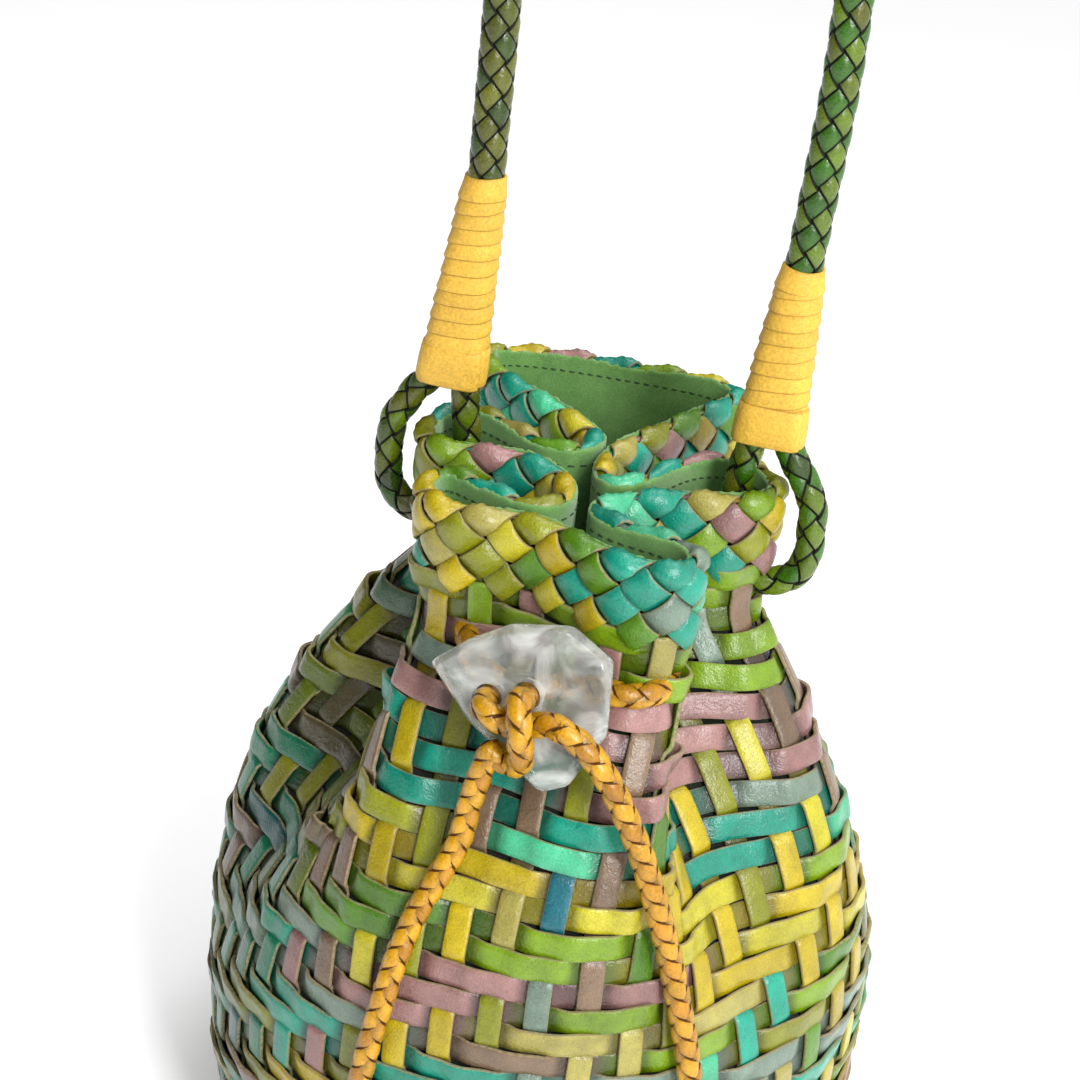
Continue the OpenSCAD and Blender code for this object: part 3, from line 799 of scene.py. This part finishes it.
def lining():
    """The suede lining: a closed sheet inside the wall, with a soft, slightly wavy top edge."""
    rng = np.random.default_rng(77)
    u = np.arange(GRID_U)[::2] / GRID_U
    heights = np.concatenate([[2.5, 5.5], np.arange(9, 200, 7.0), np.arange(200, 256, 3.0),
                              np.arange(256, 263, 1.0)])
    waves = 0.7 * wobble(u, rng, (5, 11, 19)) + 0.25 * rng.standard_normal(len(u))
    rings = []
    back = []
    for off, direction in ((-1.95, 1), (-3.5, -1)):
        for h in heights[::direction]:
            near_top = smooth_step((h - 240) / 22)
            points, normals = on_wall(u, h - 1.3 * near_top + waves * near_top)
            rings.append(points + normals * (off - 0.35 * near_top))
            # the outer face behind the weave is flagged to be painted nearly black, as painted
            # shade in the gaps between the strips
            back.append(1.0 if direction == 1 and h < 252 else 0.0)
        if direction == 1:
            for off_edge, rise in ((-2.6, 0.6), (-3.1, 0.85), (-3.6, 0.6)):
                points, normals = on_wall(u, 260.7 + waves)
                rings.append(points + normals * off_edge + np.array([0, 0, rise]))
                back.append(0.0)
    rings = np.array(rings)
    n, m = rings.shape[:2]
    faces = tube(n, m, inward=True, closed=True)
    return rings.reshape(-1, 3), faces, DYE["G"], np.repeat(back, m)


piece = mesh_piece("suede_lining", [lining()], SUEDE, "bag")
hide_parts("wall_lining")


def capsule(a, b, r, sides=6):
    """A short rounded thread between two points."""
    a, b = np.asarray(a, float), np.asarray(b, float)
    line = np.array([a + (b - a) * t for t in (0.0, 0.08, 0.5, 0.92, 1.0)])
    radii = np.array([0.15, 0.8, 1.0, 0.8, 0.15]) * r
    side, out = frames(line, (0.1, 0.2, 1))
    angle = 2 * math.pi * np.arange(sides) / sides
    points = (line[:, None] + (side[:, None] * np.cos(angle)[:, None]
                               + out[:, None] * np.sin(angle)[:, None]) * radii[:, None, None])
    return points.reshape(-1, 3), tube(len(line), sides, inward=True), DYE["G"], 0.0


STITCHES = 230
stitches = []
for i in range(STITCHES):
    u0, u1 = (i + 0.14) / STITCHES, (i + 0.72) / STITCHES
    ends, normals = on_wall(np.array([u0, u1]), np.array([256.0, 256.2]))
    ends = ends + normals * -3.95
    stitches.append(capsule(ends[0], ends[1], 0.33))
piece = mesh_piece("rim_stitches", stitches, THREAD, "bag")
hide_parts("rim_thread")


# -------------------- base

def base_strips():
    """The flat base: strips both ways, each over one and under one, ending at the wall."""
    parts = []
    rng = np.random.default_rng(8)
    pitch = 7.7
    count = 12
    for way in (0, 1):
        for i in range(-count, count + 1):
            across = i * pitch
            reach = math.sqrt(max(97.0 ** 2 - (abs(across) + 3.4) ** 2, 0))
            if reach < 8:
                continue
            t = np.arange(-reach, reach, 1.2)
            weave = np.cos(math.pi * (t / pitch + i + way))
            centres = np.full((len(t), 3), across)
            centres[:, way] = t
            centres[:, 2] = 1.65 + 0.72 * np.tanh(2 * weave)
            normals = np.tile([0.0, 0.0, -1.0], (len(t), 1))
            profile, cut = strip_profile(6.9, 1.3)
            letters = random_letters(rng, 8, 0.5)
            parts.append(sweep(centres, normals, profile,
                               dye_run(letters, (t + 100) / 201, rng), cut))
    return parts


piece = mesh_piece("base_strips", base_strips(), STRIP, "bag")
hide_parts("base_weave")


def disc(radius, z, thick, sag):
    """A soft disc with a rounded edge and a slightly uneven top."""
    rings = []
    radii = [radius - 0.5, radius, radius, radius - 0.6]
    heights = [z, z + 0.3, z + thick - 0.3, z + thick]
    count = 96
    a = 2 * math.pi * np.arange(count) / count
    for r in np.linspace(8, radius - 4, 12):
        radii.insert(0, r)
        heights.insert(0, z)
        radii.append(radius + 4 - r)
        heights.append(z + thick + sag * (0.5 + 0.5 * math.sin(r * 0.21)))
    for r, h in zip(radii, heights):
        rings.append(np.stack([r * np.cos(a), r * np.sin(a), np.full(count, h)], -1))
    faces = tube(len(rings), count, inward=True)
    return np.array(rings).reshape(-1, 3), faces, DYE["G"], 0.0


piece = mesh_piece("base_lining_disc", [disc(98.0, 5.8, 1.2, 0.15)], SUEDE, "bag")
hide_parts("base_lining")
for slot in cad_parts["base_board"].material_slots:
    slot.material = BOARD


# -------------------- strap, loops and drawstring

STRAP_D, LOOP_D = 11.5, 9.5
ARCH_H, ARCH_RISE = 539.0, 51.0
HANDLE_Y = 2.0
WRAP_BOTTOM_H, BAND_H = 276.0, 13.0
LOOP_BOTTOM_H = 229.0
LOOP_SPREAD = 5.1  # how far each end of a loop is from the middle of its wrap's foot
# Of each wrap: where the strap's leg leaves it, where its foot is, and the height of its top
LEFT = dict(leg_x=-38.6, low_x=-45.7, top=344.0)
RIGHT = dict(leg_x=59.0, low_x=55.3, top=333.0)
ARCH_LEFT_X, ARCH_RIGHT_X = -36.4, 62.0
DYE.update(V=linear((46, 92, 2)), K=linear((88, 112, 8)), D=linear((44, 68, 6)),
           U=linear((84, 88, 10)))


def up_wrap(x, place, up):
    """Where a strand that enters a wrap's foot at x is further up, since the wraps lean."""
    lean = (place["leg_x"] - place["low_x"]) / (place["top"] - WRAP_BOTTOM_H)
    return x + lean * up, WRAP_BOTTOM_H + up


def strap_route():
    mid, radius = (ARCH_LEFT_X + ARCH_RIGHT_X) / 2, (ARCH_RIGHT_X - ARCH_LEFT_X) / 2
    spring = ARCH_H - ARCH_RISE
    points = [up_wrap(LEFT["low_x"], LEFT, 24),
              (LEFT["leg_x"] - 0.2, LEFT["top"] - 2), (LEFT["leg_x"] + 0.3, LEFT["top"] + 12),
              (LEFT["leg_x"] + 1.2, LEFT["top"] + 50), (ARCH_LEFT_X, spring - 12)]
    for a in np.radians(np.arange(180, -1, -15)):
        points.append((mid + radius * math.cos(a), spring + ARCH_RISE * math.sin(a)))
    points += [(ARCH_RIGHT_X + 0.2, spring - 12), (RIGHT["leg_x"] + 3.4, RIGHT["top"] + 77),
               (RIGHT["leg_x"] + 3, RIGHT["top"] + 50), (RIGHT["leg_x"] + 0.8, RIGHT["top"] + 12),
               (RIGHT["leg_x"] - 0.13, RIGHT["top"] - 2),
               up_wrap(RIGHT["low_x"], RIGHT, 24)]
    return [(p[0], HANDLE_Y, p[1]) for p in points]


def loop_route(x, place, turn):
    """Middle line of a loop: down from the wrap, through the wall, and up outside it."""
    arc = 13.0
    z = LOOP_BOTTOM_H + arc
    inner, outer = place["low_x"] - turn * LOOP_SPREAD, place["low_x"] + turn * LOOP_SPREAD
    points = [up_wrap(inner, place, 13.5), up_wrap(inner, place, 5), (inner, WRAP_BOTTOM_H - 3),
              (inner + (x - turn * arc - inner) * 0.6, WRAP_BOTTOM_H - 16)]
    for a in np.radians(np.arange(180, 361, 22.5)):
        points.append((x + turn * arc * math.cos(a), z + arc * math.sin(a)))
    points += [(x + turn * arc, z + 8), (x + turn * (arc - 0.6), z + 15),
               (x + turn * (arc - 2.6), z + 20.5), (x + turn * (arc - 7.8), z + 29),
               (outer + turn * 1.2, WRAP_BOTTOM_H + 1), up_wrap(outer, place, 7),
               up_wrap(outer, place, 13.5)]
    return [(p[0], HANDLE_Y, p[1]) for p in points]


piece = mesh_piece("strap_braid", braid(
    strap_route(), STRAP_D / 2, 4, 40.0, 6.7, 0.9,
    (("UUDUVVVV", "DUUVVDVV"), ("UDUKKUKK", "UUDKKKUK")), 11, up=(0, 1, 0)),
    PLAIT, "handle")
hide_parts("strap")
for word, place, loop_x, turn, dyes in (
        ("left", LEFT, -51.5, -1, (("UKUD", "DUVU"), ("UDUK", "UUDU"))),
        ("right", RIGHT, 59.5, 1, (("VVKV", "VDVV"), ("KUKK", "UKKD")))):
    piece = mesh_piece(f"loop_braid_{word}", braid(
        loop_route(loop_x, place, turn), LOOP_D / 2, 3, 34.0, 7.2, 0.8, dyes,
        21 + turn, up=(0, 1, 0)), PLAIT, "handle")
    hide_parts(f"loop_{word}")

DRAWSTRING = [
    (-3, -74, 216), (-1, -69.5, 217.2), (-5, -67.5, 218), (-11, -63.5, 219), (-17, -56, 220),
    (-22, -46, 220), (-26, -35, 220), (-28, -24, 220), (-29, -12, 220), (-30, 0, 220),
    (-30, 12, 220), (-28, 23, 220), (-20, 33, 220), (-8, 38, 220), (6, 38, 220), (18, 31, 220),
    (27, 21, 220), (33, 10, 220), (36, -2, 220), (37, -15, 220), (39, -28, 220), (41, -40, 220),
    (43, -51, 220), (42, -61, 220), (36, -66.5, 220), (28, -66.8, 220), (19, -66.5, 220),
    (12.5, -68.5, 219.5), (8.4, -71, 219), (8, -74, 218.8)]
piece = mesh_piece("drawstring_braid", braid(
    DRAWSTRING[1:-1], seed=61, **dict(GOLD_BRAID, up=(0, 0, 1))), GOLD, None)
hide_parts("drawstring")
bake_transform(piece)


# -------------------- lace wraps

def stadium(centre_x, spread, radius, angle):
    """Points on a stadium outline seen from above."""
    c, s = np.cos(angle), np.sin(angle)
    shift = spread * np.tanh(3.0 * c)
    return np.stack([centre_x + shift + radius * c, HANDLE_Y + radius * s], -1)


def wrap_place(place, height, angle, proud):
    """Points on a wrap, which narrows from the two loops at its foot to the strap at its top."""
    up = (height - WRAP_BOTTOM_H) / (place["top"] - WRAP_BOTTOM_H)
    radius = (LOOP_D / 2 + 0.5) * (1 - up) + (STRAP_D / 2 + 0.3) * up
    flat = stadium(place["low_x"] + (place["leg_x"] - place["low_x"]) * up,
                   LOOP_SPREAD * np.clip(1 - up, 0, 1), radius + proud, angle)
    return np.concatenate([flat, height[..., None]], -1)


def lace_turns(place, seed):
    """One flat lace wound up the wrap: each turn lies over the upper edge of the turn below."""
    rng = np.random.default_rng(seed)
    pitch, width, thick = 5.05, 7.2, 1.15
    low, high = WRAP_BOTTOM_H + BAND_H - 7.0, place["top"] + 0.4
    turns = (high - low - width) / pitch + 1.0
    angle = np.arange(0, turns * 2 * math.pi, math.radians(5)) + rng.random() * 6
    first = angle[0]
    across = np.array([0.0, 0.04, 0.25, 0.6, 0.93, 1.0, 1.0, 0.9, 0.6, 0.25, 0.04])
    depth = np.array([0.5, 1, 1, 1, 1, 0.75, 0.2, 0, 0, 0, 0]) * thick
    cut = np.array([0.4, 0.3, 0, 0, 0, 1.0, 1.0, 0.3, 0, 0, 0])
    base = np.minimum(low + width + (angle - first) / (2 * math.pi) * pitch, high)
    base = base + 0.35 * wobble((angle - first) / (turns * 2 * math.pi), rng, (5, 9, 14, 23))
    # the end of the lace tucks in
    ends = smooth_step((angle - first) / 1.2) * smooth_step((angle[-1] - angle) / 1.2)
    height = base[:, None] - across[None] * width
    slope = 0.95 * across ** 1.5
    proud = (slope[None] * (0.9 + 0.12 * wobble(angle / 60, rng, (3, 8, 21)))[:, None]
             + depth[None] - 0.9) * (0.35 + 0.65 * ends[:, None])
    points = wrap_place(place, height, np.broadcast_to(angle[:, None], height.shape), proud)
    n, m = points.shape[:2]
    tone = 1 + 0.06 * wobble(angle / 70, rng, (2, 5, 9))
    return (points.reshape(-1, 3), tube(n, m, inward=True),
            np.repeat(DYE["X"] * tone[:, None], m, axis=0), np.tile(cut, n))


def band_turn(place, seed):
    """The last, wide turn at the foot of the wrap, with a rolled edge and an overlapping end."""
    rng = np.random.default_rng(seed)
    angle = np.radians(np.arange(-70, 325, 5.0))
    steps = np.array([(0.0, 0.2), (0.0, 1.0), (0.6, 1.5), (3.0, 1.75), (7.0, 1.9), (10.5, 1.85),
                      (12.8, 1.7), (13.3, 1.2), (13.0, 0.4), (7.0, 0.3)])
    cut = np.array([0.2, 0.5, 0.1, 0, 0, 0, 0.1, 0.7, 0.5, 0])
    height = WRAP_BOTTOM_H + steps[None, :, 0] + 0.35 * wobble(
        np.linspace(0, 1, len(angle)), rng, (1, 2, 4))[:, None]
    lap = np.clip((angle - math.radians(285)) / 0.5, 0, 1)
    proud = steps[None, :, 1] - 0.5 + (0.75 * lap)[:, None] * (steps[None, :, 1] > 0.1)
    points = wrap_place(place, height, np.broadcast_to(angle[:, None], height.shape), proud)
    n, m = points.shape[:2]
    return points.reshape(-1, 3), tube(n, m), DYE["X"] * 1.04, np.tile(cut, n)


DYE["X"] = linear((215, 170, 62))
for word, place, seed in (("left", LEFT, 69), ("right", RIGHT, 71)):
    piece = mesh_piece(f"wrap_lace_{word}", [lace_turns(place, seed)], LACE, "handle")
    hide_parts(f"wrap_{word}")
    piece = mesh_piece(f"wrap_foot_{word}", [band_turn(place, seed + 10)], LACE, "handle")
    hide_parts(f"wrap_band_{word}")


# -------------------- the stone

STONE_AT = (7.0, -78.0, 217.0)
STONE_LEAN = math.radians(20)
STONE_HOLES = [(-10.0, 0.0), (1.0, 3.0)]
STONE_CORNERS = [(-26, 6), (-17, 13), (-6, 19), (9, 22), (21, 16), (22, -3), (15, -18), (8, -21),
                 (-12, -7)]


def stone_piece():
    """A hand-cut slice of quartz: bevelled corners, uneven faces and two drilled holes."""
    rng = np.random.default_rng(5)
    corners = np.array(STONE_CORNERS, float)
    middle = corners.mean(0)
    away = unit(corners - middle)
    bm = bmesh.new()
    for offset, z in ((3.9, 0.6), (3.6, -1.2), (1.4, 4.6), (1.0, -4.7)):
        for p, d in zip(corners, away):
            q = p + d * (offset + rng.uniform(-0.4, 0.1))
            bm.verts.new((q[0], q[1], z + rng.uniform(-0.35, 0.35)))
    for p in ((0, 4), (8, -4), (-8, 5), (10, 10)):
        bm.verts.new((p[0], p[1], 5.25))
        bm.verts.new((p[0], p[1], -5.25))
    bmesh.ops.convex_hull(bm, input=bm.verts)
    loose = [v for v in bm.verts if not v.link_faces]
    bmesh.ops.delete(bm, geom=loose, context="VERTS")
    mesh = bpy.data.meshes.new("stone_blank")
    bm.to_mesh(mesh)
    bm.free()
    blank = add_object("stone_blank", mesh)
    bevel = blank.modifiers.new("edges", "BEVEL")
    bevel.width, bevel.segments, bevel.limit_method = 2.2, 3, "ANGLE"
    bevel.angle_limit = math.radians(12)
    remesh = blank.modifiers.new("even", "REMESH")
    remesh.mode, remesh.voxel_size = "VOXEL", 0.55
    smooth = blank.modifiers.new("polish", "SMOOTH")
    smooth.factor, smooth.iterations = 0.5, 12
    cutters = []
    for n, (x, y) in enumerate(STONE_HOLES):
        bm = bmesh.new()
        bmesh.ops.create_cone(bm, cap_ends=True, segments=40, radius1=CORD_D / 2 + 0.45,
                              radius2=CORD_D / 2 + 0.45, depth=30,
                              matrix=Matrix.Translation((x, y, 0)))
        hole = bpy.data.meshes.new(f"hole_{n}")
        bm.to_mesh(hole)
        bm.free()
        cutter = add_object(f"hole_{n}", hole)
        drill = blank.modifiers.new(f"drill_{n}", "BOOLEAN")
        drill.operation, drill.solver, drill.object = "DIFFERENCE", "EXACT", cutter
        cutters.append(cutter)
    bpy.context.view_layer.update()
    shaped = bpy.data.meshes.new_from_object(blank.evaluated_get(
        bpy.context.evaluated_depsgraph_get()))
    for gone in [blank] + cutters:
        bpy.data.objects.remove(gone, do_unlink=True)
    place = (Matrix.Translation(Vector(STONE_AT) * MM)
             @ Matrix.Rotation(math.radians(90) - STONE_LEAN, 4, "X") @ Matrix.Scale(MM, 4))
    shaped.transform(place)
    shaped.materials.clear()
    shaped.materials.append(QUARTZ)
    shaped.polygons.foreach_set("use_smooth", [True] * len(shaped.polygons))
    shaped.name = "stone"
    obj = add_object("stone", shaped)
    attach(obj, "toggle")
    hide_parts("toggle_stone")


stone_piece()


# -------------------- floor, lights and render

def stage_and_lights():
    mesh = bpy.data.meshes.new("floor")
    mesh.from_pydata([(-3, -3, 0), (3, -3, 0), (3, 3, 0), (-3, 3, 0)], [], [(0, 1, 2, 3)])
    floor = add_object("floor", mesh)
    t = Tree("studio_floor")
    t.set(Base_Color=(0.88, 0.88, 0.88, 1.0), Roughness=0.8,
          Emission_Color=(1.0, 1.0, 1.0, 1.0), Emission_Strength=0.25)
    mesh.materials.append(t.material)

    world = bpy.data.worlds.new("studio")
    world.use_nodes = True
    nodes, links = world.node_tree.nodes, world.node_tree.links
    sky = nodes["Background"]
    sky.inputs["Color"].default_value = (1.0, 1.0, 1.0, 1.0)
    # brighter towards the big window on the right and overhead
    toward = nodes.new("ShaderNodeVectorMath")
    toward.operation = "DOT_PRODUCT"
    toward.inputs[1].default_value = (0.80, -0.16, 0.58)
    links.new(nodes.new("ShaderNodeTexCoord").outputs["Generated"], toward.inputs[0])
    fade = nodes.new("ShaderNodeMapRange")
    for socket, value in zip(list(fade.inputs)[1:5], (-0.3, 0.9, 0.02, 1.20)):
        socket.default_value = value
    links.new(toward.outputs["Value"], fade.inputs["Value"])
    # the backdrop itself is plain and pale
    seen = nodes.new("ShaderNodeMix")
    links.new(nodes.new("ShaderNodeLightPath").outputs["Is Camera Ray"], seen.inputs["Factor"])
    links.new(fade.outputs["Result"], seen.inputs["A"])
    seen.inputs["B"].default_value = 0.97
    links.new(seen.outputs["Result"], sky.inputs["Strength"])
    bpy.context.scene.world = world

    def area(name, place, aim, size, power):
        data = bpy.data.lights.new(name, "AREA")
        data.shape, data.size, data.size_y, data.energy = "RECTANGLE", size[0], size[1], power
        lamp = add_object(name, data)
        lamp.location = place
        lamp.rotation_euler = (Vector(aim) - Vector(place)).to_track_quat("-Z", "Y").to_euler()

    area("key", (0.75, -0.95, 0.95), (0, 0, 0.2), (0.28, 0.9), 19)
    area("top", (0.2, 0.4, 1.4), (0, 0, 0.2), (0.6, 0.6), 6)


stage_and_lights()
view = bpy.context.scene.view_settings
view.view_transform = "Standard"
view.look = "None"
view.exposure = 0.0
